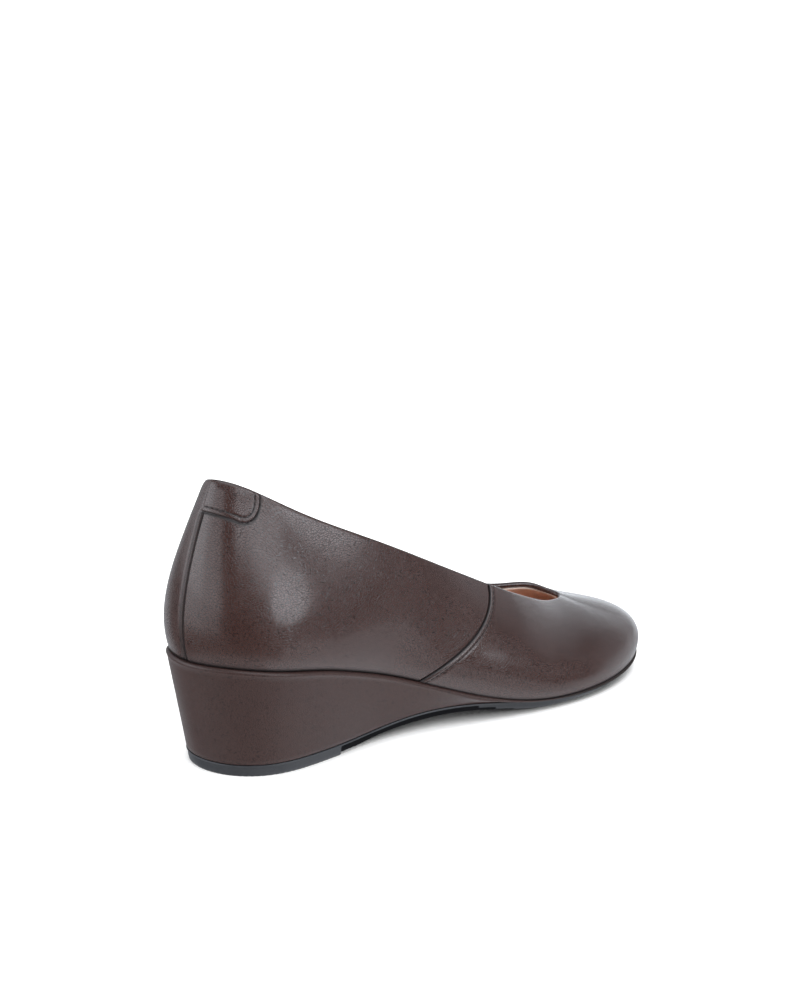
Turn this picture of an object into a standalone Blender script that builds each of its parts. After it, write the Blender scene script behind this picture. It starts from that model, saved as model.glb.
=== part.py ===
"""Wedge pump for a right foot: a hollow leather upper on a covered wedge with a rubber outsole.

Tables hold millimetres and degrees. X runs from heel to toe, Y to the wearer's left, which is the
inner side of a right foot, and Z up. The finished shoe stands on Z = 0, with its origin under the
middle of its box.
"""

import math

import bpy
import numpy as np

MM = 0.001

# Sections of the shoe from heel to toe. Every table below has one row for each of them.
# Feather line, where the upper meets the wedge: distance from the heel, half widths to the
# wearer's right and left, height, and how far the foot of the wedge lies inside this line.
FEATHER_COLUMNS = ("x", "right", "left", "z", "inset")
FEATHER = {
    "heel_back": (4, 0, 0, 43, 7),
    "heel_turn": (9, 16, 16, 43, 6.5),
    "heel_side": (24, 26, 26, 41, 4.5),
    "heel_front": (45, 27.5, 27, 37.5, 3.5),
    "shank": (64, 25.5, 26, 32.5, 3.5),
    "waist": (80, 24, 25.5, 27.5, 3.5),
    "seam": (96.5, 25, 26, 21.5, 3),
    "joint": (124, 30, 30, 11.5, 2.5),
    "ball": (150, 35, 35, 5.5, 2),
    "tread": (181, 36, 38, 4.5, 1.5),
    "toe_side": (208, 29, 33, 5.5, 1.5),
    "toe_turn": (228.5, 15, 21, 8, 1.5),
    "toe_tip": (236, -4, 4, 10, 1.5),
}
# Topline round the foot opening: the same sizes, and how much higher the inner side stands, or
# lower where this is below zero.
TOPLINE_COLUMNS = ("x", "right", "left", "z", "rise")
TOPLINE = {
    "heel_back": (16, 0, 0, 107.5, 0),
    "heel_turn": (20.5, 9, 9, 106.5, -1.5),
    "heel_side": (31, 16, 16, 101, 0),
    "heel_front": (50, 21.5, 22, 91, 0),
    "shank": (78, 25, 26, 78.5, 0),
    "waist": (105, 25, 27, 66, 0),
    "seam": (134.5, 22, 25.5, 52.5, 0),
    "joint": (151.5, 19, 23.5, 45, 0),
    "ball": (168, 14.5, 20.5, 38.5, -0.5),
    "tread": (182.5, 9, 17, 34, 1.2),
    "toe_side": (192.7, 4, 13.5, 32, 2.4),
    "toe_turn": (197, 0, 9, 31.2, 1.5),
    "toe_tip": (198.8, -3.5, 3.5, 31.1, 0.5),
}
# Rise of the leather between the two lines: its forward tilt at the feather line and how long it
# keeps that direction, then its outward tilt below the topline and how long it keeps that.
RISE_COLUMNS = ("sweep", "low", "lean", "high")
RISE = {
    "heel_back": (0, 22, 20, 12),
    "heel_turn": (0, 22, 17, 14),
    "heel_side": (0, 21, 15, 17),
    "heel_front": (5, 19, 11, 18),
    "shank": (20, 18, 10, 16),
    "waist": (40, 20, 12, 13),
    "seam": (60, 26, 19, 12),
    "joint": (50, 25, 31, 16),
    "ball": (30, 19, 42, 20),
    "tread": (15, 16, 55, 23),
    "toe_side": (5, 15, 65, 25),
    "toe_turn": (0, 15, 68, 25),
    "toe_tip": (0, 14, 70, 22),
}
FLARE = math.radians(19)  # outward tilt of the leather at the feather line, all round
# Underside: columns are the height of the wedge's lower face, that of the outsole's lower face,
# and how far the outsole steps in below its flange. Below zero, the ground cuts the tread flat.
SOLE = {
    "heel_back": (4.5, 0, 0.4),
    "heel_turn": (4.5, 0, 0.4),
    "heel_side": (4.5, 0, 0.4),
    "heel_front": (4.6, 0, 0.6),
    "shank": (4.7, -0.6, 2.2),
    "waist": (5.6, 1.1, 2.6),
    "seam": (7.4, 3.1, 2.6),
    "joint": (7.2, 3.5, 2.4),
    "ball": (4.2, 0.6, 1.4),
    "tread": (2.5, -0.8, 1.2),
    "toe_side": (2.8, -0.1, 2),
    "toe_turn": (5, 3, 3.2),
    "toe_tip": (6.8, 4.6, 3.6),
}
STATIONS = tuple(FEATHER)
SEAM = STATIONS.index("seam")
TOE = len(STATIONS) - 1
AROUND = 2 * TOE

GAP = 0.3  # between pieces that touch on the real shoe
TIP_RISE = 0.5  # share of the inner side's rise at the point of the throat
VAMP_WALL = 2.2  # the front leather, which laps over the quarter at the side seam
QUARTER_WALL = 1.6
LAP = VAMP_WALL - QUARTER_WALL
SEAM_STEP = 0.03  # length of the lap's edge, in sections
TAB_WALL = 0.9
TAB_START = 0.05  # the heel tab begins at the back seam, in sections from the centre back
TAB_REACH = 1.68  # sections from the centre back to its front edge
TAB_FOOT = 0.765  # height of its lower edge, as a share of the leather's rise
TAB_CORNER = 0.32  # share of the reach that its rounded corner takes
TAB_SQUARE = 0.85  # share of its height where the corner ends and the front edge runs straight
LIP = 0.8  # the wedge's rounded top edge stands this far outside the feather line
LIP_HEIGHT = 2.4
LIP_SHARE = 0.6  # most of the rand's height that the lip may take
LIP_START, LIP_END = 90, -45  # the lip's round runs from its top to where the side begins
FLANGE = 0.6  # thin edge of the outsole above its recessed waist
PAD_RECESS = 0.4  # the heel pad is all but flush with that edge
TREAD_DRAFT = 0.5
HEEL_BREAST = 3.8  # front face of the heel pad, in sections
BREAST_STEP = 0.02
SOCK_WALL = 1.8
SOCK_INSET = 3.0

PER_SECTION = 4  # mesh columns between two sections
UPPER_ROWS = 14
TAB_ROWS = 7
TAB_COLUMNS = 8
WEDGE_ROWS = 4
LIP_ROWS = 4
SHARP_ANGLE = 35

# Surface of each piece: base colour and roughness.
LEATHER_BROWN = (0.055, 0.040, 0.038)
SOCK_TAN = (0.17, 0.075, 0.045)
RUBBER_BLACK = (0.012, 0.012, 0.014)
LOOKS = {
    "upper_leather": (LEATHER_BROWN, 0.42),
    "tab_leather": (LEATHER_BROWN, 0.42),
    "wedge_leather": (LEATHER_BROWN, 0.5),
    "outsole_rubber": (RUBBER_BLACK, 0.6),
    "sock_leather": (SOCK_TAN, 0.7),
}


def closed_rows():
    """One row of sizes for each section, down the right side to the toe and back up the left."""
    rows = []
    for index in range(AROUND):
        side = -1 if index <= TOE else 1
        name = STATIONS[index if index <= TOE else AROUND - index]
        feather = dict(zip(FEATHER_COLUMNS, FEATHER[name]))
        topline = dict(zip(TOPLINE_COLUMNS, TOPLINE[name]))
        rise = dict(zip(RISE_COLUMNS, RISE[name]))
        width = "right" if side < 0 else "left"
        share = TIP_RISE if index == TOE else float(side > 0)
        rows.append(
            (feather["x"], side * feather[width], feather["z"])
            + (topline["x"], side * topline[width], topline["z"] + share * topline["rise"])
            + (-side * rise["sweep"], rise["low"], rise["lean"], rise["high"])
            + (feather["inset"],)
            + SOLE[name]
        )
    return np.array(rows, float)


def closed_spline(knots, rows, at):
    """Smooth closed curve through the rows: its values and slopes at the given lengths."""
    count = len(rows)
    step = np.diff(knots)
    matrix = np.zeros((count, count))
    bend = np.zeros_like(rows)
    for index in range(count):
        before, after, following = step[index - 1], step[index], (index + 1) % count
        matrix[index, index - 1] += before
        matrix[index, index] += 2 * (before + after)
        matrix[index, following] += after
        bend[index] = (rows[following] - rows[index]) / after - (rows[index] - rows[index - 1]) / before
    curve = np.linalg.solve(matrix, 6 * bend)
    first = np.clip(np.searchsorted(knots, at, side="right") - 1, 0, count - 1)
    second = (first + 1) % count
    span = step[first][:, None]
    done = (at - knots[first])[:, None]
    left = span - done
    start = rows[first] / span - curve[first] * span / 6
    end = rows[second] / span - curve[second] * span / 6
    values = (curve[first] * left**3 + curve[second] * done**3) / (6 * span) + start * left + end * done
    slopes = (curve[second] * done**2 - curve[first] * left**2) / (2 * span) - start + end
    return values, slopes


def plan_normals(slopes):
    """Unit directions along a ring, seen from above, and outward from it."""
    along = slopes / np.linalg.norm(slopes, axis=1)[:, None]
    return along, np.stack([along[:, 1], -along[:, 0]], axis=1)


class Ring:
    """The shoe's sizes at places round it, counted in sections from the heel down the right side."""

    def __init__(self, places):
        rows = closed_rows()
        steps = np.linalg.norm(np.roll(rows, -1, axis=0)[:, :2] - rows[:, :2], axis=1)
        knots = np.concatenate([[0], np.cumsum(steps)])
        places = np.mod(places, AROUND)
        lengths = np.interp(places, np.arange(AROUND + 1), knots)
        values, slopes = closed_spline(knots, rows, lengths)
        self.places = places
        self.base, self.top = values[:, 0:3], values[:, 3:6]
        self.along, self.out = plan_normals(slopes[:, 0:2])
        self.top_out = plan_normals(slopes[:, 3:5])[1]
        self.sweep, self.low, self.lean, self.high = values[:, 6:10].T
        self.inset, self.cover_z, self.tread_z, self.recess = values[:, 10:14].T

    def leather(self, height):
        """Outer face of the upper at a share of its rise, from the feather line to the topline."""
        sweep, lean = np.radians([self.sweep, self.lean])
        level = math.sin(FLARE) * self.out + math.cos(FLARE) * np.sin(sweep)[:, None] * self.along
        rising = np.column_stack([level, math.cos(FLARE) * np.cos(sweep)])
        falling = np.column_stack([np.sin(lean)[:, None] * self.top_out, -np.cos(lean)])
        lower = self.base + self.low[:, None] * rising
        upper = self.top + self.high[:, None] * falling
        share = np.broadcast_to(height, len(self.base))[:, None]
        rest = 1 - share
        middle = 3 * rest**2 * share * lower + 3 * rest * share**2 * upper
        return rest**3 * self.base + middle + share**3 * self.top

    def level(self, offset, z):
        """The feather line moved outward by an offset and set to a height."""
        offset = np.broadcast_to(offset, len(self.base))[:, None]
        return np.column_stack([self.base[:, :2] + offset * self.out, np.broadcast_to(z, len(self.base))])


def even_places():
    """Mesh columns round the shoe, the same number in every section."""
    return np.arange(AROUND * PER_SECTION) / PER_SECTION


def clear_scene():
    for old in list(bpy.data.objects):
        bpy.data.objects.remove(old, do_unlink=True)


def material(name):
    colour, roughness = LOOKS[name]
    made = bpy.data.materials.new(name)
    made.use_nodes = True
    shader = made.node_tree.nodes["Principled BSDF"]
    shader.inputs["Base Color"].default_value = (*colour, 1)
    shader.inputs["Roughness"].default_value = roughness
    shader.inputs["Metallic"].default_value = 0
    return made


def add_object(name, points, faces, parent, look):
    """A smooth-shaded mesh from points in millimetres, in the shoe's collection."""
    mesh = bpy.data.meshes.new(name)
    mesh.from_pydata(np.asarray(points) * MM, [], faces)
    mesh.shade_smooth()
    mesh.set_sharp_from_angle(angle=math.radians(SHARP_ANGLE))
    mesh.materials.append(look)
    made = bpy.data.objects.new(name, mesh)
    made.parent = parent
    bpy.data.collections["wedge_shoe"].objects.link(made)
    return made


def sheet_faces(rows, columns, closed):
    """Quads of a sheet of points, row by row, joined round where it is closed."""
    across = columns if closed else columns - 1
    faces = []
    for row in range(rows - 1):
        for column in range(across):
            after = (column + 1) % columns
            low, high = row * columns, (row + 1) * columns
            faces.append((low + column, low + after, high + after, high + column))
    return faces


def thicken(made, inward, wall, group=""):
    """Moves a sheet inward along its normals, then gives it a wall on its outer side."""
    shift = made.modifiers.new("seat", "DISPLACE")
    shift.strength = -inward * MM
    shift.mid_level = 0
    shell = made.modifiers.new("wall", "SOLIDIFY")
    shell.thickness = wall * MM
    shell.offset = 1
    shell.vertex_group = group


def add_loft(name, rings, parent, look):
    """A solid between rings from top to bottom, closed by rungs from the right side to the left."""
    count = len(rings[0])
    half = count // 2
    faces = []
    for row in range(len(rings) - 1):
        for column in range(count):
            after = (column + 1) % count
            high, low = row * count, (row + 1) * count
            faces.append((high + column, low + column, low + after, high + after))
    last = (len(rings) - 1) * count
    for rung in range(half):
        right = (rung, rung + 1)
        left = (count - rung - 1, (count - rung) % count)
        corners = list(dict.fromkeys(right + left))
        faces.append(corners)
        faces.append([last + corner for corner in reversed(corners)])
    return add_object(name, np.concatenate(rings), faces, parent, look)


def add_upper(parent, look):
    """Vamp and quarters in one hollow piece. The vamp's edge laps over the quarters at both sides."""
    lap = (SEAM - SEAM_STEP, AROUND - SEAM + SEAM_STEP)
    ring = Ring(np.sort(np.append(even_places(), lap)))
    heights = np.linspace(0, 1, UPPER_ROWS + 1)
    points = np.concatenate([ring.leather(height) for height in heights])
    faces = sheet_faces(len(heights), len(ring.places), True)
    upper = add_object("upper", points, faces, parent, look)
    wall = upper.vertex_groups.new(name="wall")
    for column, place in enumerate(ring.places):
        in_vamp = SEAM <= place <= AROUND - SEAM
        share = 1 if in_vamp else QUARTER_WALL / VAMP_WALL
        wall.add(list(range(column, len(points), len(ring.places))), share, "REPLACE")
    thicken(upper, VAMP_WALL - LAP / 2, VAMP_WALL, "wall")


def add_heel_tab(parent, look):
    """Tail of the inner quarter that laps over the top of the back seam, with a rounded lower corner."""
    shares = np.linspace(0, 1, TAB_COLUMNS + 1)
    rows = np.linspace(0, 1, TAB_ROWS + 1)
    points = []
    for row in rows:
        turn = 1 - min(1, row / TAB_SQUARE)
        reach = TAB_REACH * (1 - TAB_CORNER + TAB_CORNER * math.sqrt(1 - turn**2))
        places = TAB_START + shares * (reach - TAB_START)
        points.append(Ring(places).leather(TAB_FOOT + (1 - TAB_FOOT) * row))
    faces = sheet_faces(len(rows), len(shares), False)
    tab = add_object("heel_tab", np.concatenate(points), faces, parent, look)
    thicken(tab, LAP / 2 - GAP, TAB_WALL)


def add_wedge(parent, look):
    """Leather-covered wedge that thins to a rand round the forefoot, with a rounded top edge."""
    ring = Ring(even_places())
    top_z = ring.base[:, 2] - GAP
    radius = np.minimum(LIP_HEIGHT, LIP_SHARE * (top_z - ring.cover_z)) / 2
    rings = []
    for angle in np.radians(np.linspace(LIP_START, LIP_END, LIP_ROWS + 1)):
        shoulder = LIP - radius + radius * np.cos(angle)
        shoulder_z = top_z - radius + radius * np.sin(angle)
        rings.append(ring.level(shoulder, shoulder_z))
    for share in np.linspace(0, 1, WEDGE_ROWS + 1)[1:]:
        offset = (1 - share) * shoulder - share * ring.inset
        rings.append(ring.level(offset, (1 - share) * shoulder_z + share * ring.cover_z))
    add_loft("wedge", rings, parent, look)


def add_outsole(parent, look):
    """Rubber sole: a flange all round, a heel pad, an arched waist set in under it and a tread."""
    breast = (HEEL_BREAST, HEEL_BREAST + BREAST_STEP)
    places = np.concatenate([even_places(), breast, [AROUND - place for place in breast]])
    ring = Ring(np.sort(places))
    from_heel = np.minimum(ring.places, AROUND - ring.places)
    in_pad = from_heel <= HEEL_BREAST
    recess = np.where(in_pad, PAD_RECESS, ring.recess)
    tread_z = np.where(in_pad, 0, np.maximum(ring.tread_z, 0))
    edge = -ring.inset
    rings = [
        ring.level(edge, ring.cover_z - GAP),
        ring.level(edge, ring.cover_z - GAP - FLANGE),
        ring.level(edge - recess, ring.cover_z - GAP - FLANGE),
        ring.level(edge - recess - TREAD_DRAFT, tread_z),
    ]
    add_loft("outsole", rings, parent, look)


def add_sock(parent, look):
    """Sock lining that covers the wedge inside the upper."""
    ring = Ring(even_places())
    foot = ring.base[:, 2]
    rings = [ring.level(-SOCK_INSET, foot + SOCK_WALL), ring.level(-SOCK_INSET, foot)]
    add_loft("sock", rings, parent, look)


def centre_on_ground(parent):
    """Slides the shoe so that its origin lies under the middle of its box."""
    bpy.context.view_layer.update()
    graph = bpy.context.evaluated_depsgraph_get()
    corners = np.concatenate([np.array(part.evaluated_get(graph).bound_box) for part in parent.children])
    middle = (corners.min(axis=0) + corners.max(axis=0)) / 2
    parent.location = (-middle[0], -middle[1], 0)


def main():
    clear_scene()
    shoe = bpy.data.collections.new("wedge_shoe")
    bpy.context.scene.collection.children.link(shoe)
    root = bpy.data.objects.new("shoe_frame", None)
    shoe.objects.link(root)
    add_upper(root, material("upper_leather"))
    add_heel_tab(root, material("tab_leather"))
    add_wedge(root, material("wedge_leather"))
    add_outsole(root, material("outsole_rubber"))
    add_sock(root, material("sock_leather"))
    centre_on_ground(root)


main()
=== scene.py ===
# %% [markdown]
# A leather wedge pump for a right foot, dressed for a studio picture.
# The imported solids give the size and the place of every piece. This lesson replaces each solid
# with the piece a shoemaker would see: folded leather, a lining with a raw edge, rows of stitches,
# a covered wedge with a rounded lip and a rubber sole with a ribbed tread.
# Everything is in metres in the solids' own frame, so nothing has to be fitted by eye.

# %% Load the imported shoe
import math

import bpy
import numpy as np
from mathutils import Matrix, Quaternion, Vector


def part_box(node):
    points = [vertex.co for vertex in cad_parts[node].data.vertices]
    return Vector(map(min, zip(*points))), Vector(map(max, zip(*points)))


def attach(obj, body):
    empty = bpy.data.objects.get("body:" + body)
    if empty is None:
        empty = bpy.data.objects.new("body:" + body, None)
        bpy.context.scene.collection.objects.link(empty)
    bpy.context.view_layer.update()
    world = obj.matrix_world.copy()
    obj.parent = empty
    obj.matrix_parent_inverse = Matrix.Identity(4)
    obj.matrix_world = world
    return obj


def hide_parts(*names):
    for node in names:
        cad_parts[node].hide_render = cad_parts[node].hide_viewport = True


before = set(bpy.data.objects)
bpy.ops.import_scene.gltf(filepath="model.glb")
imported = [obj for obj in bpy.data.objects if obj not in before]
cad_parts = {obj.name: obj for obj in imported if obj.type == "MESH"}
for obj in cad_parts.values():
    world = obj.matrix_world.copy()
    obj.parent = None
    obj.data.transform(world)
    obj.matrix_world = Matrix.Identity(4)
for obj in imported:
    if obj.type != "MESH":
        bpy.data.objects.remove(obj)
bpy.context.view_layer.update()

MM = 0.001
bpy.ops.object.select_all(action="DESELECT")


# %% [markdown]
# The camera stands behind the heel on the shoe's outer side, a little above it, as a product
# photographer would place it. Its place and lens were found by matching the shoe's outline, and it
# is rolled by one degree. The lens points straight at the picture's middle, so it needs no shift.

# %% Camera
CAMERA_PLACE = Vector((-588.6, -623.8, 296.7)) * MM
CAMERA_AIM = Vector((-6.4, 5.4, 83.3)) * MM
CAMERA_ROLL = math.radians(1.0)
CAMERA_LENS, CAMERA_SENSOR, CAMERA_REACH = 82.67, 36, 200
bpy.ops.object.camera_add(location=CAMERA_PLACE)
camera = bpy.context.object
camera.name = "photo_camera"
look = (CAMERA_AIM - CAMERA_PLACE).to_track_quat("-Z", "Y")
camera.rotation_euler = (look @ Quaternion((0, 0, 1), CAMERA_ROLL)).to_euler()
camera.data.lens = CAMERA_LENS
camera.data.sensor_width = CAMERA_SENSOR
camera.data.clip_end = CAMERA_REACH
bpy.context.scene.camera = camera
print("camera distance in mm:", round((CAMERA_AIM - CAMERA_PLACE).length / MM))

# %% [markdown]
# Floor, light, leather and rubber all get their looks from small networks of shader nodes. A few
# helpers add a node, feed it and join it to the next, so that each finish below reads as a recipe:
# which noise, how fine, how deep and in which colours.


# %% Tools for finishes
def new_finish(name, roughness, specular=0.5):
    """A new material, its tree of nodes, its shader and the place on the piece."""
    material = bpy.data.materials.new(name)
    material.use_nodes = True
    shader = material.node_tree.nodes["Principled BSDF"]
    shader.inputs["Roughness"].default_value = roughness
    shader.inputs["Specular IOR Level"].default_value = specular
    place = material.node_tree.nodes.new("ShaderNodeTexCoord").outputs["Object"]
    return material, material.node_tree, shader, place


def add_node(tree, kind, **settings):
    """Adds a node; settings name its own properties, or its sockets with underscores for spaces."""
    node = tree.nodes.new(kind)
    for name, value in settings.items():
        if hasattr(node, name):
            setattr(node, name, value)
        else:
            node.inputs[name.replace("_", " ").title()].default_value = value
    return node


def connect(tree, source, target):
    """Joins an output socket to an input socket."""
    tree.links.new(source, target)


def noise_at(tree, place, scale, detail=2.0, roughness=0.5):
    """Soft noise with so many swells to a metre."""
    node = add_node(tree, "ShaderNodeTexNoise", scale=scale, detail=detail, roughness=roughness)
    connect(tree, place, node.inputs["Vector"])
    return node.outputs["Fac"]


def rescale(tree, source, span, new_span=(0, 1), shape="LINEAR"):
    """Maps one span of values onto another and stops at its ends."""
    node = add_node(tree, "ShaderNodeMapRange", interpolation_type=shape)
    for name, value in zip(("From Min", "From Max", "To Min", "To Max"), (*span, *new_span)):
        node.inputs[name].default_value = value
    connect(tree, source, node.inputs["Value"])
    return node.outputs["Result"]


def mix_colours(tree, share, first, second):
    """Mixes two colours, each three numbers or a socket."""
    node = add_node(tree, "ShaderNodeMix", data_type="RGBA")
    connect(tree, share, node.inputs["Factor"])
    for socket, colour in ((node.inputs[6], first), (node.inputs[7], second)):
        if isinstance(colour, tuple):
            socket.default_value = colour + (1,)
        else:
            connect(tree, colour, socket)
    return node.outputs[2]


def add_bump(tree, height, depth, strength, under=None):
    """Relief of a real depth in millimetres, on top of an earlier bump."""
    node = add_node(tree, "ShaderNodeBump", distance=depth * MM, strength=strength)
    connect(tree, height, node.inputs["Height"])
    if under is not None:
        connect(tree, under, node.inputs["Normal"])
    return node.outputs["Normal"]


print("finish tools ready")

# %% [markdown]
# Dark glossy leather shows what it mirrors, so the light is planned as a room seen from the shoe:
# a wide soft box on the left, a taller one on the right, a sheet overhead and behind, and a dim
# gap round the camera, which gives the dark bands between the sheens. The directions are fixed in
# the room. One real lamp, an oval soft box beside the heel, adds the brightest sheen.
#
# The floor glows a little, like a lit table, so that shadows stay pale. In the narrow gaps under
# the sole a painted shadow takes over: the occlusion there fades the glow and darkens the floor's
# colour to black. Such a table ends close to the shoe, so the leather mirrors the room's lower half
# instead of an endless floor.

# %% Studio floor
FLOOR_SIZE, FLOOR_ROUGHNESS, FLOOR_SPECULAR = 80, 0.9, 0.1
FLOOR_WHITE, GAP_SHADOW_BLACK = (0.95, 0.92, 0.88), (0.0, 0.0, 0.0)
FLOOR_GLOW = 0.65
GAP_REACH, GAP_SAMPLES, GAP_OPENNESS = 0.015, 6, (0.1, 0.55)
bpy.ops.mesh.primitive_plane_add(size=FLOOR_SIZE, location=(0, 0, 0))
floor = bpy.context.object
floor.name = "floor"
floor.visible_glossy = False
paint, tree, shader, _ = new_finish("floor_paint", FLOOR_ROUGHNESS, FLOOR_SPECULAR)
shader.inputs["Emission Color"].default_value = (1, 1, 1, 1)
openness = add_node(tree, "ShaderNodeAmbientOcclusion", samples=GAP_SAMPLES, distance=GAP_REACH)
# Painted shadow: where the occlusion is high, the floor's colour turns black and its glow fades.
free = rescale(tree, openness.outputs["AO"], GAP_OPENNESS)
glowing = rescale(tree, openness.outputs["AO"], GAP_OPENNESS, (0, FLOOR_GLOW))
connect(tree, mix_colours(tree, free, GAP_SHADOW_BLACK, FLOOR_WHITE), shader.inputs["Base Color"])
connect(tree, glowing, shader.inputs["Emission Strength"])
floor.data.materials.append(paint)
print("floor glow:", FLOOR_GLOW)

# %% Room light
# Each light: its least and greatest azimuth and elevation in degrees, and its brightness.
# Azimuth 0 is the camera's side of the shoe and 90 the right of the picture.
ROOM_LIGHTS = (
    (-104, -58, 2, 38, 2.6),
    (-98, -58, -16, 2, 1.3),
    (-58, -22, 0, 32, 1.6),
    (-58, -28, -16, 0, 0.9),
    (44, 66, 6, 14, 0.7),
    (37, 66, 14, 20, 1.7),
    (28, 66, 20, 25, 2.1),
    (4, 74, 25, 58, 2.9),
    (74, 104, -4, 32, 0.2),
    (-180, -135, -6, 34, 0.5),
    (-135, -104, 0, 34, 1.0),
    (104, 146, 4, 34, 0.45),
    (146, 180, -8, 34, 0.85),
    (-180, 180, 58, 90, 1.5),
    (-180, 40, -90, -36, 0.66),
    (40, 180, -90, -38, 1.25),
    (58, 104, -38, -20, 0.75),
    (104, 180, -38, 4, 0.8),
    (-180, -126, -42, -8, 0.55),
)
ROOM_DIM, ROOM_BLUR, COOL_WHITE = 0.04, 4, (0.95, 1.0, 1.06, 1)
world = bpy.data.worlds.new("studio_room")
bpy.context.scene.world = world
world.use_nodes = True
room = world.node_tree
away = Vector((CAMERA_AIM.x - CAMERA_PLACE.x, CAMERA_AIM.y - CAMERA_PLACE.y, 0)).normalized()
rightward = Vector((away.y, -away.x, 0))


def room_math(operation, *values):
    """A Math node in the room's light, fed by numbers or sockets."""
    node = add_node(room, "ShaderNodeMath", operation=operation)
    for socket, value in zip(node.inputs, values):
        if isinstance(value, (int, float)):
            socket.default_value = value
        else:
            connect(room, value, socket)
    return node.outputs[0]


def room_share(axis):
    """How far the direction points along an axis of the room."""
    node = add_node(room, "ShaderNodeVectorMath", operation="DOT_PRODUCT")
    node.inputs[1].default_value = axis
    connect(room, room_direction, node.inputs[0])
    return node.outputs["Value"]


def soft_window(angle, low, high):
    """1 between two angles and 0 outside, with blurred edges."""
    middle, half = math.radians(low + high) / 2, math.radians(high - low) / 2
    blur = math.radians(ROOM_BLUR)
    off_middle = room_math("ABSOLUTE", room_math("SUBTRACT", angle, middle))
    return rescale(room, off_middle, (half + blur, half - blur), shape="SMOOTHSTEP")


room_direction = add_node(room, "ShaderNodeTexCoord").outputs["Generated"]
azimuth = room_math("ARCTAN2", room_share(rightward), room_share(-away))
elevation = room_math("ARCSINE", room_share((0, 0, 1)))
glow = ROOM_DIM
for least, greatest, lowest, highest, bright in ROOM_LIGHTS:
    wide, tall = soft_window(azimuth, least, greatest), soft_window(elevation, lowest, highest)
    glow = room_math("MULTIPLY_ADD", room_math("MULTIPLY", wide, tall), bright, glow)
connect(room, glow, room.nodes["Background"].inputs["Strength"])
room.nodes["Background"].inputs["Color"].default_value = COOL_WHITE
bpy.context.scene.view_settings.view_transform = "Standard"
print("room lights:", len(ROOM_LIGHTS))

# %% Soft box beside the heel
BOX_FACES = Vector((-60, -25, 70)) * MM
BOX_AZIMUTH, BOX_ELEVATION, BOX_DISTANCE = math.radians(61), math.radians(5.5), 0.55
BOX_WIDTH, BOX_HEIGHT, BOX_GLOW = 0.38, 0.24, 2.9
level = -away * math.cos(BOX_AZIMUTH) + rightward * math.sin(BOX_AZIMUTH)
toward = level * math.cos(BOX_ELEVATION) + Vector((0, 0, math.sin(BOX_ELEVATION)))
bpy.ops.object.light_add(type="AREA", location=BOX_FACES + toward * BOX_DISTANCE)
soft_box = bpy.context.object
soft_box.name = "soft_box"
soft_box.rotation_euler = (-toward).to_track_quat("-Z", "Y").to_euler()
soft_box.visible_camera = False
soft_box.data.shape = "ELLIPSE"
soft_box.data.size, soft_box.data.size_y = BOX_WIDTH, BOX_HEIGHT
soft_box.data.energy = BOX_GLOW * math.pi * BOX_WIDTH * BOX_HEIGHT
soft_box.data.color = COOL_WHITE[:3]
print("soft box height over the floor in mm:", round(soft_box.location.z / MM))

# %% [markdown]
# A shoe is built on a last, the wooden or plastic foot that gives the leather its shape. The last
# is described here by a few sizes at thirteen sections from heel to toe, the same sizes as in the
# solids. A smooth closed curve runs through them, so any place on the leather can be found by two
# numbers: its place round the shoe, counted in sections from the heel down the right side, and its
# height as a share of the way from the feather line to the topline.

# %% Sizes of the last in millimetres
FEATHER_COLUMNS = ("x", "right", "left", "z", "inset")
FEATHER = {
    "heel_back": (4, 0, 0, 43, 7),
    "heel_turn": (9, 16, 16, 43, 6.5),
    "heel_side": (24, 26, 26, 41, 4.5),
    "heel_front": (45, 27.5, 27, 37.5, 3.5),
    "shank": (64, 25.5, 26, 32.5, 3.5),
    "waist": (80, 24, 25.5, 27.5, 3.5),
    "seam": (96.5, 25, 26, 21.5, 3),
    "joint": (124, 30, 30, 11.5, 2.5),
    "ball": (150, 35, 35, 5.5, 2),
    "tread": (181, 36, 38, 4.5, 1.5),
    "toe_side": (208, 29, 33, 5.5, 1.5),
    "toe_turn": (228.5, 15, 21, 8, 1.5),
    "toe_tip": (236, -4, 4, 10, 1.5),
}
TOPLINE_COLUMNS = ("x", "right", "left", "z", "rise")
TOPLINE = {
    "heel_back": (16, 0, 0, 107.5, 0),
    "heel_turn": (20.5, 9, 9, 106.5, -1.5),
    "heel_side": (31, 16, 16, 101, 0),
    "heel_front": (50, 21.5, 22, 91, 0),
    "shank": (78, 25, 26, 78.5, 0),
    "waist": (105, 25, 27, 66, 0),
    "seam": (134.5, 22, 25.5, 52.5, 0),
    "joint": (151.5, 19, 23.5, 45, 0),
    "ball": (168, 14.5, 20.5, 38.5, -0.5),
    "tread": (182.5, 9, 17, 34, 1.2),
    "toe_side": (192.7, 4, 13.5, 32, 2.4),
    "toe_turn": (197, 0, 9, 31.2, 1.5),
    "toe_tip": (198.8, -3.5, 3.5, 31.1, 0.5),
}
RISE_COLUMNS = ("sweep", "low", "lean", "high")
RISE = {
    "heel_back": (0, 22, 20, 12),
    "heel_turn": (0, 22, 17, 14),
    "heel_side": (0, 21, 15, 17),
    "heel_front": (5, 19, 11, 18),
    "shank": (20, 18, 10, 16),
    "waist": (40, 20, 12, 13),
    "seam": (60, 26, 19, 12),
    "joint": (50, 25, 31, 16),
    "ball": (30, 19, 42, 20),
    "tread": (15, 16, 55, 23),
    "toe_side": (5, 15, 65, 25),
    "toe_turn": (0, 15, 68, 25),
    "toe_tip": (0, 14, 70, 22),
}
FLARE = math.radians(19)
SOLE_COLUMNS = ("cover_z", "tread_z", "recess")
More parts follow.
